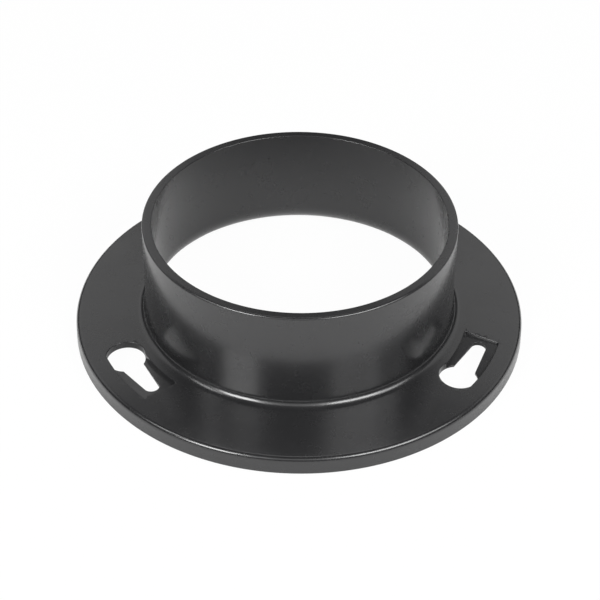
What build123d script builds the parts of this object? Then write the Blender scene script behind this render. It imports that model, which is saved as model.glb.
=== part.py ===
from build123d import *
import os
from math import atan2, degrees, radians, sqrt, tan

# Duct flange: one moulding with a collar that a duct slips over, a round plate with a skirt
# turned down round its edge, and three keyholes that twist onto screws in a wall.
# Millimetres and degrees. The skirt stands on Z = 0, and the collar rises along +Z.

# Collar
collar_outer_radius = 61.75
collar_wall = 3.75
collar_height = 50.8
lip_bevel = 0.4

# Plate, which falls a little from the collar to the rim, and its skirt
plate_width = 28.25
plate_height = 8.6
rim_height = 7.15
plate_thickness = 2.9
skirt_wall = 2.5
skirt_draft = 1.4
shoulder_round = 1.5

# Bends between the collar and the plate: the outer one, and the bore's bell mouth
collar_fillet = 3.6
mouth_round = 10.2

# Keyholes: a round hole for the screw's head, and a slot that narrows to its shank
keyhole_count = 3
keyhole_first_angle = 93.4
keyhole_setback = 15.0
head_hole_radius = 7.6
shank_slot_radius = 3.0
slot_mouth_radius = 5.05
slot_run = 20.2

# Recess along each slot: its floor ramps up from the head hole, so the screw's head draws tight
recess_width = 14.2
recess_head_depth = 2.2
recess_shank_depth = 1.35
recess_overrun = 5.0
recess_corner_round = 0.8


def widening(height, draft):
    """How far a drafted wall moves outwards over a height."""
    return height * tan(radians(draft))


# Half section: X is the radius and Y the height, with a round at each corner
bore_radius = collar_outer_radius - collar_wall
lip_middle_height = collar_height - lip_bevel
flange_radius = collar_outer_radius + plate_width
rim_radius = flange_radius - widening(rim_height, skirt_draft)
skirt_inner_radius = flange_radius - skirt_wall
rim_underside = rim_height - plate_thickness
rim_inner_radius = skirt_inner_radius - widening(rim_underside, skirt_draft)
sharp = 0
section = [
    ((collar_outer_radius - lip_bevel, collar_height), sharp),
    ((collar_outer_radius, lip_middle_height), sharp),
    ((collar_outer_radius, plate_height), collar_fillet),
    ((rim_radius, rim_height), shoulder_round),
    ((flange_radius, 0), sharp),
    ((skirt_inner_radius, 0), sharp),
    ((rim_inner_radius, rim_underside), sharp),
    ((bore_radius, plate_height - plate_thickness), mouth_round),
    ((bore_radius, lip_middle_height), sharp),
    ((bore_radius + lip_bevel, collar_height), sharp),
]
section_corners = [corner for corner, _ in section]
section_rounds = [corner_round for _, corner_round in section]

# Plan of one keyhole, with its middle on the X axis
keyhole_circle_radius = flange_radius - keyhole_setback
keyhole_middle_x = sqrt(keyhole_circle_radius**2 - (slot_run / 2) ** 2)
head_centre = (keyhole_middle_x, -slot_run / 2)
shank_centre = (keyhole_middle_x, slot_run / 2)
with BuildSketch() as keyhole_plan:
    with BuildLine():
        CenterArc(head_centre, slot_mouth_radius, 0, 360)
        CenterArc(shank_centre, shank_slot_radius, 0, 360)
    make_hull()
    with Locations(head_centre):
        Circle(head_hole_radius)

# Plan of its recess: a band of the keyhole circle from the head hole to past the slot's end
with BuildSketch() as recess_plan:
    Circle(keyhole_circle_radius + recess_width / 2)
    Circle(keyhole_circle_radius - recess_width / 2, mode=Mode.SUBTRACT)
    with Locations((keyhole_circle_radius, recess_overrun / 2)):
        Rectangle(recess_width * 2, slot_run + recess_overrun, mode=Mode.INTERSECT)
    fillet(recess_plan.vertices().group_by(Axis.Y)[-1], recess_corner_round)

# Ramped floor, its depths measured down from the plate where the keyhole circle crosses it
plate_fall = (plate_height - rim_height) / (rim_radius - collar_outer_radius)
keyhole_plate_height = plate_height - plate_fall * (keyhole_circle_radius - collar_outer_radius)
middle_floor_height = keyhole_plate_height - (recess_head_depth + recess_shank_depth) / 2
ramp_angle = degrees(atan2(recess_head_depth - recess_shank_depth, slot_run))
recess_floor = Plane((0, 0, middle_floor_height)).rotated((ramp_angle, 0, 0))

# What a recess takes away: the band above the ramp
with BuildPart() as recess_space:
    extrude(recess_plan.sketch, amount=plate_height)
    split(bisect_by=recess_floor, keep=Keep.TOP)

with BuildPart() as duct_flange:
    with BuildSketch(Plane.XZ):
        with BuildLine():
            FilletPolyline(*section_corners, radius=section_rounds, close=True)
        make_face()
    revolve(axis=Axis.Z)

    with PolarLocations(0, keyhole_count, keyhole_first_angle):
        add(recess_space.part, mode=Mode.SUBTRACT)

    with BuildSketch():
        with PolarLocations(0, keyhole_count, keyhole_first_angle):
            add(keyhole_plan.sketch)
    extrude(amount=plate_height, mode=Mode.SUBTRACT)

duct_flange.part.label = "duct_flange"

os.makedirs("parts", exist_ok=True)
export_step(duct_flange.part, "parts/duct_flange.step")
print("duct flange volume", round(duct_flange.part.volume), "cubic millimetres")
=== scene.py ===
import math

import bmesh
import bpy
import numpy as np
from mathutils import Matrix, Vector
from mathutils.geometry import delaunay_2d_cdt


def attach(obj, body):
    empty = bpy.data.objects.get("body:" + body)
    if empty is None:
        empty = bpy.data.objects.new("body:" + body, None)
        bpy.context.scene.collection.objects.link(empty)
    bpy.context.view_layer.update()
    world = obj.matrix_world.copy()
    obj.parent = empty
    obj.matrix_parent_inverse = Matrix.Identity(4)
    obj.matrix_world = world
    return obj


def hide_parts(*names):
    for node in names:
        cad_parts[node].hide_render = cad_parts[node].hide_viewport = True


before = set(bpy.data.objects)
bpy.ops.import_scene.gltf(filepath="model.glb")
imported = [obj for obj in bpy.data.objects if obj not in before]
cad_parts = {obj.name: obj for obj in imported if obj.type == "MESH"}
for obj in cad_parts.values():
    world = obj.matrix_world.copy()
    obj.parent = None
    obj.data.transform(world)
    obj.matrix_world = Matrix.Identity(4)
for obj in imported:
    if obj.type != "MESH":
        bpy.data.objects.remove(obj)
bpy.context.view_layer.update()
print("frame loaded")

mm = 0.001


def unitVectors(angle):
    # x = cos a, y = sin a
    return np.stack([np.cos(angle), np.sin(angle)], -1)


def filletedLine(corners, arcSteps):
    # a line through (radius, height) corners, each corner replaced by an arc of its own radius;
    # the arc's centre is on the corner's bisector, at its radius over the sine of half the corner
    points = [np.array([corners[0][:2]], float)]
    for before, corner, after in zip(corners, corners[1:], corners[2:]):
        tip = np.array(corner[:2], float)
        back = np.array(before[:2], float) - tip
        ahead = np.array(after[:2], float) - tip
        back /= np.linalg.norm(back)
        ahead /= np.linalg.norm(ahead)
        arcRadius = corner[2]
        half = math.acos(float(back @ ahead)) / 2
        centre = tip + (back + ahead) / np.linalg.norm(back + ahead) * arcRadius / math.sin(half)
        start = tip + back * arcRadius / math.tan(half) - centre
        end = tip + ahead * arcRadius / math.tan(half) - centre
        turn = math.atan2(start[0] * end[1] - start[1] * end[0], float(start @ end))
        angle = math.atan2(start[1], start[0]) + np.linspace(0, turn, arcSteps + 1)
        points.append(centre + arcRadius * unitVectors(angle))
    points.append(np.array([corners[-1][:2]], float))
    return np.concatenate(points)


def subdivided(profile, longest):
    # the same line, each straight run cut into equal parts that are no longer than the longest
    runs = []
    for start, end in zip(profile[:-1], profile[1:]):
        count = max(1, math.ceil(np.linalg.norm(end - start) / longest))
        runs.append(start + (end - start) * (np.arange(count) / count)[:, None])
    return np.concatenate(runs + [profile[-1:]])


def revolved(profile, turns):
    # every profile point (radius, height) goes round Z: x = r cos a, y = r sin a
    angle = np.arange(turns) * (2 * np.pi / turns)
    radius = profile[:, 0, None]
    height = profile[:, 1, None] + 0 * angle
    return np.stack([radius * np.cos(angle), radius * np.sin(angle), height], -1)


def gridQuads(rows, columns, closed):
    # corner numbers of the quads between neighbouring rows and columns of a grid
    number = np.arange(rows * columns).reshape(rows, columns)
    ahead = np.roll(number, -1, axis=1) if closed else number[:, 1:]
    here = number if closed else number[:, :-1]
    return np.stack([here[:-1], ahead[:-1], ahead[1:], here[1:]], -1).reshape(-1, 4)


def arc(centre, radius, start, end, spacing):
    # points along a circle from one angle to another, in radians, without the last one
    count = max(2, math.ceil(abs(end - start) * radius / spacing))
    angle = start + (end - start) * np.arange(count) / count
    return np.asarray(centre) + radius * unitVectors(angle)


def straight(start, end, spacing):
    # points along a line without the last one
    count = max(1, math.ceil(np.linalg.norm(np.subtract(end, start)) / spacing))
    return np.asarray(start) + np.subtract(end, start) * (np.arange(count) / count)[:, None]


def outward(loop):
    # mitred offset direction of each corner of a counter-clockwise loop, away from its inside:
    # the sum of the two edges' normals over one plus their dot product
    ahead = np.roll(loop, -1, axis=0) - loop
    ahead /= np.linalg.norm(ahead, axis=1)[:, None]
    normal = np.stack([ahead[:, 1], -ahead[:, 0]], -1)
    previous = np.roll(normal, 1, axis=0)
    return (normal + previous) / (1 + (normal * previous).sum(1))[:, None]


def insideLoop(points, loop):
    # whether each point is inside a closed loop, by counting the edges to its right
    x, y = points[:, 0, None], points[:, 1, None]
    x0, y0 = loop[:, 0], loop[:, 1]
    x1, y1 = np.roll(x0, -1), np.roll(y0, -1)
    crosses = (y0 > y) != (y1 > y)
    rise = np.where(y1 == y0, 1, y1 - y0)
    return (crosses & (x < (x1 - x0) * (y - y0) / rise + x0)).sum(1) % 2 == 1


def filled(outer, holes, loose):
    # triangles between an outer loop and its holes, with loose points inside; a wide frame of
    # four points keeps slivers off the outer loop, and it is dropped with all outside the loop
    loops = [outer] + holes
    starts = np.cumsum([0] + [len(loop) for loop in loops])
    edges = [np.stack([np.arange(len(loop)), np.roll(np.arange(len(loop)), -1)], -1) + start
             for loop, start in zip(loops, starts)]
    surround = 2 * np.abs(outer).max() * np.array([(-1, -1), (1, -1), (1, 1), (-1, 1)])
    points = np.concatenate(loops + [loose, surround])
    wholeHull, tolerance = 0, 1e-7
    result = delaunay_2d_cdt([Vector(point) for point in points],
                             np.concatenate(edges).tolist(), [], wholeHull, tolerance)
    flat = np.array([tuple(point) for point in result[0]])
    faces = np.array(result[2])
    centre = flat[faces].mean(1)
    keep = insideLoop(centre, outer)
    for hole in holes:
        keep &= ~insideLoop(centre, hole)
    used, renumbered = np.unique(faces[keep], return_inverse=True)
    return flat[used], renumbered.reshape(-1, 3)


def raised(points, heights):
    # points of the plan, each lifted to its height
    return np.concatenate([points, np.broadcast_to(heights, points.shape[:-1])[..., None]], -1)


def radiusOf(points):
    return np.hypot(points[..., 0], points[..., 1])


# sizes of the flange in millimetres and degrees
flangeForm = {
    "collarRadius": 61.75, "boreRadius": 58.0, "collarHeight": 50.8,
    "innerLipRound": 0.3, "outerLipRound": 0.9,
    "flangeRadius": 90.0, "plateHeight": 8.6, "rimHeight": 7.15, "plateThickness": 2.9,
    "skirtWall": 2.5, "skirtDraft": 1.4, "shoulderRound": 1.9, "innerCornerRound": 0.9,
    "footRound": 0.3, "collarFillet": 3.6, "mouthRound": 10.2,
    "keyholes": 3, "firstAngle": 93.4, "circleRadius": 75.0, "headRadius": 7.6,
    "shankRadius": 3.0, "slotMouthRadius": 5.05, "slotRun": 20.2,
    "recessWidth": 14.2, "recessHeadDepth": 2.2, "recessShankDepth": 1.35,
    "recessOverrun": 5.0, "recessCornerRound": 0.8,
    "edgeRound": 0.3, "slotEdgeRound": 0.22, "slotEdgeFade": 2.0,
}

# how finely the flange's mesh is drawn, its lengths in millimetres
flangeGrain = {
    "turns": 640, "skirtArcSteps": 8, "collarArcSteps": 10, "edgeSteps": 4,
    "skirtStep": 3.0, "collarStep": 6.0, "outlineSpacing": 0.45, "cornerSpacing": 0.15,
    "ringStride": 4, "plainRings": 7, "fineRings": 5, "fineBand": 2.0, "holeClearance": 0.8,
    "weldDistance": 0.002, "sharpAngle": 38.0,
}


def flangeSection(form, grain):
    # the two runs of the half section: rim to underside, and underside over the lip to the plate
    skirtLean = math.tan(math.radians(form["skirtDraft"]))
    rimRadius = form["flangeRadius"] - form["rimHeight"] * skirtLean
    innerRadius = form["flangeRadius"] - form["skirtWall"]
    rimUnder = form["rimHeight"] - form["plateThickness"]
    plateUnder = form["plateHeight"] - form["plateThickness"]
    rimInner = innerRadius - rimUnder * skirtLean
    middle = form["circleRadius"]
    fall = (form["plateHeight"] - form["rimHeight"]) / (rimRadius - form["collarRadius"])
    underFall = (plateUnder - rimUnder) / (rimInner - form["boreRadius"])

    def plateTop(radius):
        return form["plateHeight"] - fall * (radius - form["collarRadius"])

    # the bell mouth: an arc that touches the bore and the sloping underside
    mouth, slant = form["mouthRound"], math.hypot(1, underFall)
    mouthX = form["boreRadius"] + mouth
    mouthZ = plateUnder + mouth * (slant - underFall)
    touchX = mouthX - mouth * underFall / slant

    def plateBottom(radius):
        straightPart = plateUnder - underFall * (radius - form["boreRadius"])
        inward = np.clip(mouthX - radius, 0, mouth)
        arcPart = mouthZ - np.sqrt(mouth ** 2 - inward ** 2)
        return np.where(radius >= touchX, straightPart, arcPart)

    # the runs start and end where their arcs touch the plate, except that the collar's starts one
    # step into the bell mouth, because the head holes cut into that first step
    skirt = filletedLine([
        (middle, plateTop(middle)),
        (rimRadius, form["rimHeight"], form["shoulderRound"]),
        (form["flangeRadius"], 0, form["footRound"]),
        (innerRadius, 0, form["footRound"]),
        (rimInner, rimUnder, form["innerCornerRound"]),
        (middle, plateBottom(middle))], grain["skirtArcSteps"])[1:-1]
    collar = filletedLine([
        (middle, plateBottom(middle)),
        (form["boreRadius"], plateUnder, form["mouthRound"]),
        (form["boreRadius"], form["collarHeight"], form["innerLipRound"]),
        (form["collarRadius"], form["collarHeight"], form["outerLipRound"]),
        (form["collarRadius"], form["plateHeight"], form["collarFillet"]),
        (middle, plateTop(middle))], grain["collarArcSteps"])[2:-1]
    return (subdivided(skirt, grain["skirtStep"]), subdivided(collar, grain["collarStep"]),
            plateTop, plateBottom)


def keyholeOutlines(form, grain):
    # the head hole and slot, and the edge of the recess round them, of a keyhole on the X axis
    spacing, cornerSpacing = grain["outlineSpacing"], grain["cornerSpacing"]
    half = form["slotRun"] / 2
    middleX = math.sqrt(form["circleRadius"] ** 2 - half ** 2)
    head, shank = np.array([middleX, -half]), np.array([middleX, half])
    headRadius, shankRadius = form["headRadius"], form["shankRadius"]
    taper = math.asin((form["slotMouthRadius"] - shankRadius) / form["slotRun"])
    side = unitVectors(taper)
    along = np.array([-math.sin(taper), math.cos(taper)])
    reach = math.sqrt(headRadius ** 2 - form["slotMouthRadius"] ** 2)
    mirror = np.array([-1, 1])
    rightEnd = form["slotMouthRadius"] * side + reach * along
    headAngle = math.atan2(rightEnd[1], rightEnd[0])
    innerArc = form["circleRadius"] - form["recessWidth"] / 2
    outerArc = form["circleRadius"] + form["recessWidth"] / 2

    def meetAngle(arcRadius):
        # angle about the head hole's centre at which it meets a circle about the collar's axis
        distance = np.linalg.norm(head)
        cosine = (arcRadius ** 2 - distance ** 2 - headRadius ** 2) / (2 * distance * headRadius)
        return math.acos(cosine) + math.atan2(head[1], head[0])

    outerMeet, innerMeet = meetAngle(outerArc), meetAngle(innerArc)
    headLower = arc(head, headRadius, innerMeet, outerMeet + 2 * np.pi, spacing)
    # the recess's outer wall runs on past the head hole and trims it
    headLower *= np.minimum(1, outerArc / np.linalg.norm(headLower, axis=1))[:, None]
    slotPart = np.concatenate([
        arc(head, headRadius, outerMeet, headAngle, spacing),
        straight(head + rightEnd, shank + shankRadius * side, spacing),
        arc(shank, shankRadius, taper, np.pi - taper, spacing),
        straight(shank + shankRadius * side * mirror, head + rightEnd * mirror, spacing),
        arc(head, headRadius, np.pi - headAngle, innerMeet, spacing)])

    endY = half + form["recessOverrun"]
    corner = form["recessCornerRound"]
    outerTurn = math.asin((endY - corner) / (outerArc - corner))
    innerTurn = math.asin((endY - corner) / (innerArc + corner))
    outerCorner = (outerArc - corner) * unitVectors(outerTurn)
    innerCorner = (innerArc + corner) * unitVectors(innerTurn)

    def axisAngle(angle):
        # angle about the collar's axis of the head hole's point at an angle about its centre
        point = head + headRadius * unitVectors(angle)
        return math.atan2(point[1], point[0])

    recessPart = np.concatenate([
        arc((0, 0), outerArc, axisAngle(outerMeet), outerTurn, spacing),
        arc(outerCorner, corner, outerTurn, np.pi / 2, cornerSpacing),
        straight(outerCorner + (0, corner), innerCorner + (0, corner), spacing),
        arc(innerCorner, corner, np.pi / 2, np.pi + innerTurn, cornerSpacing),
        arc((0, 0), innerArc, innerTurn, axisAngle(innerMeet), spacing)])
    return slotPart, recessPart, headLower


def keyholePieces(form, grain, plateTop, plateBottom):
    # the walls and recess floors of all keyholes, and the holes they leave in the plate's two sides
    slotPart, recessPart, headLower = keyholeOutlines(form, grain)
    through = np.concatenate([slotPart, headLower])
    brim = np.concatenate([recessPart, headLower])
    # the recess floor is a ramp: it rises evenly from the head hole's centre to the shank's
    middleDepth = (form["recessHeadDepth"] + form["recessShankDepth"]) / 2
    middleFloor = plateTop(form["circleRadius"]) - middleDepth
    climb = (form["recessHeadDepth"] - form["recessShankDepth"]) / form["slotRun"]
    slotCount, recessCount = len(slotPart), len(recessPart)
    throughOut, brimOut = outward(through), outward(brim)
    # a rounded edge goes out by one minus the sine and down by one minus the cosine
    roundSteps = np.linspace(0, np.pi / 2, grain["edgeSteps"] + 1)[:, None]
    aside, down = 1 - np.sin(roundSteps), 1 - np.cos(roundSteps)

    # slot edges are rounded too, and the round fades out where the floor ends at the head hole
    walked = np.cumsum(np.linalg.norm(np.diff(slotPart, axis=0, append=headLower[:1]), axis=1))
    fromStart = np.concatenate([[0], walked[:-1]])
    fromEnd = np.minimum(fromStart, walked[-1] - fromStart)
    fade = np.zeros(len(through))
    fade[:slotCount] = np.clip(fromEnd / form["slotEdgeFade"], 0, 1) * form["slotEdgeRound"]

    edge = form["edgeRound"]
    pieces, plateHoles, bottomHoles = [], [], []
    for keyhole in range(form["keyholes"]):
        turn = math.radians(form["firstAngle"] + 360 / form["keyholes"] * keyhole)
        spin = np.array([[math.cos(turn), math.sin(turn)], [-math.sin(turn), math.cos(turn)]])
        throughHere, throughN = through @ spin, throughOut @ spin
        brimHere, brimN = brim @ spin, brimOut @ spin
        alongSlot = np.array([0, 1]) @ spin

        def floorAt(points):
            return middleFloor + climb * (points @ alongSlot)

        # rounded brim from the plate down to the height of the recess floor
        ring = brimHere + brimN * (edge * aside)[..., None]
        ringTop = raised(ring, plateTop(radiusOf(ring)) - edge * down)
        ringFoot = raised(brimHere, floorAt(brimHere))[None]
        grid = np.concatenate([ringTop, ringFoot])
        pieces.append((grid.reshape(-1, 3), gridQuads(len(grid), len(brim), True)))

        # slot edge, rounded from the floor, then the through wall down to the underside
        ring = throughHere + throughN * (fade * aside)[..., None]
        ringTop = raised(ring, floorAt(ring) - fade * down)
        slotGrid = np.concatenate([ringTop[:, :slotCount], ringTop[:, slotCount:slotCount + 1]], 1)
        pieces.append((slotGrid.reshape(-1, 3), gridQuads(len(slotGrid), slotCount + 1, False)))
        low = throughHere + throughN * (form["slotEdgeRound"] * aside[::-1])[..., None]
        rise = form["slotEdgeRound"] * down[::-1]
        lowRing = raised(low, plateBottom(radiusOf(low)) + rise)
        grid = np.concatenate([ringTop[-1:], lowRing])
        pieces.append((grid.reshape(-1, 3), gridQuads(len(grid), len(through), True)))

        # recess floor, a U shape round the slot
        slotSide = (throughHere + throughN * fade[:, None])[:slotCount]
        floorLoop = np.concatenate([brimHere[:recessCount], headLower[:1] @ spin,
                                    slotSide[::-1][:-1]])
        flat, faces = filled(floorLoop, [], np.zeros((0, 2)))
        pieces.append((raised(flat, floorAt(flat)), faces))
        plateHoles.append(brimHere + brimN * edge)
        bottomHoles.append(throughHere + throughN * form["slotEdgeRound"])
    return pieces, plateHoles, bottomHoles


def coneWithHoles(heightOf, innerRadius, outerRadius, holes, fineBand, grain):
    # one side of the plate between two circles; rings of loose points keep its triangles small,
    # closer together in a fine band at the inner circle, where the bell mouth begins
    angle = np.arange(grain["turns"]) * (2 * np.pi / grain["turns"])
    circle = unitVectors(angle)
    fineEnd = innerRadius + fineBand
    rows = np.linspace(fineEnd, outerRadius, grain["plainRings"] + 2)[1:-1]
    if fineBand:
        fineRows = np.linspace(innerRadius, fineEnd, grain["fineRings"] + 1)[1:]
        rows = np.concatenate([fineRows, rows])
    loose = np.concatenate([circle[::grain["ringStride"]] * radius for radius in rows])
    clear = np.ones(len(loose), bool)
    for hole in holes:
        gap = np.linalg.norm(loose[:, None] - hole[None], axis=2).min(1)
        clear &= (gap > grain["holeClearance"]) & ~insideLoop(loose, hole)
    flat, faces = filled(circle * outerRadius, [circle * innerRadius] + holes, loose[clear])
    return raised(flat, heightOf(radiusOf(flat))), faces


def weldedMesh(name, pieces, grain):
    # one closed mesh in metres from pieces in millimetres that meet point on point
    points, faces, count = [], [], 0
    for piecePoints, pieceFaces in pieces:
        points.append(piecePoints * mm)
        faces += (pieceFaces + count).tolist()
        count += len(piecePoints)
    mesh = bpy.data.meshes.new(name)
    mesh.from_pydata(np.concatenate(points).tolist(), [], faces)
    joined = bmesh.new()
    joined.from_mesh(mesh)
    bmesh.ops.remove_doubles(joined, verts=joined.verts, dist=grain["weldDistance"] * mm)
    bmesh.ops.recalc_face_normals(joined, faces=joined.faces)
    openEdges = sum(1 for edge in joined.edges if len(edge.link_faces) != 2)
    volume = joined.calc_volume(signed=True) / mm ** 3
    joined.to_mesh(mesh)
    joined.free()
    print(name, "has", len(mesh.polygons), "faces,", openEdges, "open edges and",
          round(volume), "cubic mm")
    mesh.shade_smooth()
    mesh.set_sharp_from_angle(angle=math.radians(grain["sharpAngle"]))
    return mesh


def flangeMesh(form, grain):
    # two revolved runs, the keyholes' walls, and the plate's top and underside between them
    skirtRun, collarRun, plateTop, plateBottom = flangeSection(form, grain)
    pieces = []
    for run in (skirtRun, collarRun):
        grid = revolved(run, grain["turns"])
        pieces.append((grid.reshape(-1, 3), gridQuads(len(run), grain["turns"], True)))
    walls, plateHoles, bottomHoles = keyholePieces(form, grain, plateTop, plateBottom)
    pieces += walls
    pieces.append(coneWithHoles(plateTop, collarRun[-1, 0], skirtRun[0, 0], plateHoles, 0, grain))
    pieces.append(coneWithHoles(plateBottom, collarRun[0, 0], skirtRun[-1, 0], bottomHoles,
                                grain["fineBand"], grain))
    return weldedMesh("ductFlange", pieces, grain)


flangeMeshData = flangeMesh(flangeForm, flangeGrain)
flange = bpy.data.objects.new("duct_flange_body", flangeMeshData)
bpy.context.scene.collection.objects.link(flange)
steady = flange.modifiers.new("steadyNormals", "WEIGHTED_NORMAL")
steady.keep_sharp = True
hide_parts("duct_flange")
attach(flange, "root")
print("flange built")


def linear(hexColour):
    # sRGB hex to linear red, green, blue and alpha
    channels = [int(hexColour[i:i + 2], 16) / 255 for i in (1, 3, 5)]
    return [c / 12.92 if c <= 0.04045 else ((c + 0.055) / 1.055) ** 2.4 for c in channels] + [1.0]


def addNode(tree, kind, settings=None, links=None, **values):
    # a node with its settings, its socket values and the sockets that feed it
    node = tree.nodes.new(kind)
    for name, value in (settings or {}).items():
        setattr(node, name, value)
    for name, value in values.items():
        node.inputs[name.replace("_", " ")].default_value = value
    for name, source in (links or {}).items():
        tree.links.new(source, node.inputs[name])
    return node


# pattern sizes and bump heights are in millimetres; a polypropylene skin is half glossy, and its
# polished outermost layer mirrors more sharply than what lies under it
plasticLook = {
    "dark": "#1e1e1f", "light": "#232324", "refraction": 1.5,
    "roughLow": 0.22, "roughHigh": 0.29, "skinRough": 0.15, "skinShare": 0.5,
    "rippleSize": 16.0, "rippleHeight": 0.10, "rippleLow": 0.3, "rippleHigh": 0.7,
    "grainSize": 0.8, "grainHeight": 0.006, "bumpStrength": 0.15,
    "scuffSize": 5.0, "scuffRough": 0.07, "scuffLow": 0.56, "scuffHigh": 0.72,
}


def mouldedPlastic(look):
    # black polypropylene from a polished steel mould, with faint flow ripples and a fine grain,
    # which is drawn coarser than it is so that it shows
    material = bpy.data.materials.new("blackMouldedPolypropylene")
    material.use_nodes = True
    tree = material.node_tree
    tree.nodes.clear()
    place = addNode(tree, "ShaderNodeTexCoord").outputs["Object"]
    cloud = addNode(tree, "ShaderNodeTexNoise", links={"Vector": place},
                    Scale=1 / (look["rippleSize"] * mm), Detail=4.0, Roughness=0.55)
    grain = addNode(tree, "ShaderNodeTexNoise", links={"Vector": place},
                    Scale=1 / (look["grainSize"] * mm), Detail=2.0, Roughness=0.5)
    colour = addNode(tree, "ShaderNodeMix", {"data_type": "RGBA"},
                     {"Factor": cloud.outputs["Fac"]},
                     A=linear(look["dark"]), B=linear(look["light"]))
    rough = addNode(tree, "ShaderNodeMapRange", links={"Value": cloud.outputs["Fac"]},
                    From_Min=look["rippleLow"], From_Max=look["rippleHigh"],
                    To_Min=look["roughLow"], To_Max=look["roughHigh"])
    # faint scuffs from handling: streaky patches that are a little duller
    scuff = addNode(tree, "ShaderNodeTexNoise", links={"Vector": place},
                    Scale=1 / (look["scuffSize"] * mm), Detail=6.0, Roughness=0.7, Distortion=1.2)
    dull = addNode(tree, "ShaderNodeMapRange", {"interpolation_type": "SMOOTHSTEP"},
                   {"Value": scuff.outputs["Fac"]},
                   From_Min=look["scuffLow"], From_Max=look["scuffHigh"],
                   To_Max=look["scuffRough"])
    scuffedRough = addNode(tree, "ShaderNodeMath", {"operation": "ADD"},
                           {0: rough.outputs["Result"], 1: dull.outputs["Result"]})
    ripple = addNode(tree, "ShaderNodeBump", links={"Height": cloud.outputs["Fac"]},
                     Strength=look["bumpStrength"], Distance=look["rippleHeight"] * mm)
    skin = addNode(tree, "ShaderNodeBump",
                   links={"Height": grain.outputs["Fac"], "Normal": ripple.outputs["Normal"]},
                   Strength=look["bumpStrength"], Distance=look["grainHeight"] * mm)
    surface = addNode(tree, "ShaderNodeBsdfPrincipled",
                      links={"Base Color": colour.outputs["Result"],
                             "Roughness": scuffedRough.outputs["Value"],
                             "Normal": skin.outputs["Normal"],
                             "Coat Normal": skin.outputs["Normal"]},
                      IOR=look["refraction"], Coat_IOR=look["refraction"],
                      Coat_Weight=look["skinShare"], Coat_Roughness=look["skinRough"])
    addNode(tree, "ShaderNodeOutputMaterial", links={"Surface": surface.outputs["BSDF"]})
    return material


flangeMeshData.materials.append(mouldedPlastic(plasticLook))
print("plastic made")


# half the floor's width in metres and its height in millimetres, and shares of plain white
studio = {
    "floorHalf": 1.6, "floorHeight": -0.02, "floorColour": "#e9e9e9",
    "cameraGlow": 0.97, "glossGlow": 0.1, "worldStrength": 0.04,
}


def whiteFloor(form):
    # white paper that shows as white to the camera and in reflections, and keeps a soft shadow;
    # it lies a hair below the part's foot and can be looked through from underneath
    half, height = form["floorHalf"], form["floorHeight"] * mm
    mesh = bpy.data.meshes.new("paperFloor")
    corners = [(x * half, y * half, height) for x, y in ((-1, -1), (1, -1), (1, 1), (-1, 1))]
    mesh.from_pydata(corners, [], [(0, 1, 2, 3)])
    floor = bpy.data.objects.new("paperFloor", mesh)
    bpy.context.scene.collection.objects.link(floor)
    material = bpy.data.materials.new("whitePaper")
    material.use_nodes = True
    tree = material.node_tree
    tree.nodes.clear()
    ray = addNode(tree, "ShaderNodeLightPath")
    clear = addNode(tree, "ShaderNodeMath", {"operation": "MAXIMUM"},
                    {0: ray.outputs["Is Camera Ray"], 1: ray.outputs["Is Transmission Ray"]})
    direct = addNode(tree, "ShaderNodeMath", {"operation": "MULTIPLY"},
                     {0: clear.outputs["Value"]})
    direct.inputs[1].default_value = form["cameraGlow"]
    share = addNode(tree, "ShaderNodeMath", {"operation": "MULTIPLY_ADD"},
                    {0: ray.outputs["Is Glossy Ray"], 2: direct.outputs["Value"]})
    share.inputs[1].default_value = form["glossGlow"]
    paper = addNode(tree, "ShaderNodeBsdfDiffuse", Color=linear(form["floorColour"]))
    glow = addNode(tree, "ShaderNodeEmission", Color=linear("#ffffff"), Strength=1.0)
    lit = addNode(tree, "ShaderNodeMixShader",
                  links={0: share.outputs["Value"], 1: paper.outputs["BSDF"],
                         2: glow.outputs["Emission"]})
    side = addNode(tree, "ShaderNodeNewGeometry")
    nothing = addNode(tree, "ShaderNodeBsdfTransparent", Color=linear("#ffffff"))
    oneSided = addNode(tree, "ShaderNodeMixShader",
                       links={0: side.outputs["Backfacing"], 1: lit.outputs["Shader"],
                              2: nothing.outputs["BSDF"]})
    addNode(tree, "ShaderNodeOutputMaterial", links={"Surface": oneSided.outputs["Shader"]})
    mesh.materials.append(material)


def studioWorld(form):
    # white to the camera, and a faint even light on the part
    world = bpy.data.worlds.new("studioWorld")
    bpy.context.scene.world = world
    world.use_nodes = True
    tree = world.node_tree
    tree.nodes.clear()
    ray = addNode(tree, "ShaderNodeLightPath")
    faint = addNode(tree, "ShaderNodeBackground", Color=linear("#ffffff"),
                    Strength=form["worldStrength"])
    white = addNode(tree, "ShaderNodeBackground", Color=linear("#ffffff"), Strength=1.0)
    seen = addNode(tree, "ShaderNodeMixShader",
                   links={0: ray.outputs["Is Camera Ray"], 1: faint.outputs["Background"],
                          2: white.outputs["Background"]})
    addNode(tree, "ShaderNodeOutputWorld", links={"Surface": seen.outputs["Shader"]})


whiteFloor(studio)
studioWorld(studio)

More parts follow.
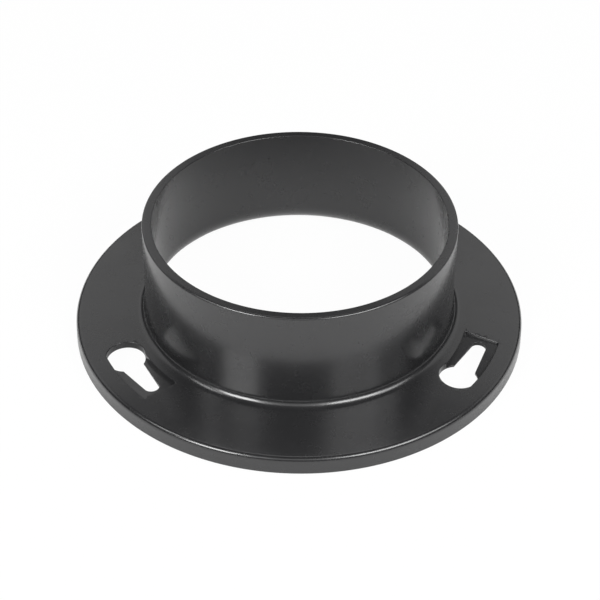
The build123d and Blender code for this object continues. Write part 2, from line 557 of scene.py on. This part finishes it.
# the front softboxes draw the bright lines along the collar's foot and the plate's shoulder, the
# one at the top draws the line on the lip, and the back panels lighten the plate beside the collar
lampDistance = 1.3
lamps = [
    # name, direction round and up in degrees, width and height in metres, watts
    ("frontLeftSoftbox", (229, 35), (0.48, 0.46), 10.8),
    ("frontPanel", (268, 41), (1.56, 0.62), 3.2),
    ("leftSideSoftbox", (197, 45), (0.26, 0.40), 1.8),
    ("frontRightSoftbox", (311, 41), (0.66, 0.42), 10.4),
    ("rightSideSoftbox", (341, 44), (0.38, 0.45), 2.8),
    ("topBackSoftbox", (90, 66), (0.50, 0.40), 1.1),
    ("backLeftPanel", (134, 36), (1.50, 0.60), 2.2),
    ("backRightPanel", (46, 36), (1.50, 0.60), 2.2),
]


def addLamp(name, direction, size, power):
    # a soft rectangular lamp that faces the part from lampDistance metres away:
    # x = cos round cos up, y = sin round cos up, z = sin up
    lamp = bpy.data.lights.new(name, "AREA")
    lamp.shape = "RECTANGLE"
    lamp.size, lamp.size_y = size
    lamp.energy = power
    holder = bpy.data.objects.new(name, lamp)
    around, up = (math.radians(angle) for angle in direction)
    holder.location = lampDistance * Vector((math.cos(around) * math.cos(up),
                                             math.sin(around) * math.cos(up), math.sin(up)))
    holder.rotation_euler = (-holder.location).to_track_quat("-Z", "Y").to_euler()
    bpy.context.scene.collection.objects.link(holder)


for lampRow in lamps:
    addLamp(*lampRow)

# the camera looks down on the front: focal length and image width in pixels, sensor and places
# in millimetres, and angles in degrees
view = {
    "focal": 1830.56, "imageWidth": 600, "sensorWidth": 36.0, "back": 576.6, "up": 473.55,
    "yaw": -0.030, "pitch": 38.789, "roll": -0.558,
}
turnZ = Matrix.Rotation(math.radians(view["yaw"]), 3, "Z")
turnX = Matrix.Rotation(math.radians(-view["pitch"]), 3, "X")
turnY = Matrix.Rotation(math.radians(view["roll"]), 3, "Y")
axes = turnZ @ turnX @ turnY
cameraData = bpy.data.cameras.new("camera")
cameraData.sensor_width = view["sensorWidth"]
cameraData.lens = view["focal"] / view["imageWidth"] * view["sensorWidth"]
camera = bpy.data.objects.new("camera", cameraData)
stance = Matrix((axes.col[0], axes.col[2], -axes.col[1])).transposed().to_4x4()
stance.translation = Vector((0, -view["back"], view["up"])) * mm
camera.matrix_world = stance
bpy.context.scene.collection.objects.link(camera)
bpy.context.scene.camera = camera
bpy.context.scene.view_settings.view_transform = "Standard"
print("studio made")

bpy.context.view_layer.update()
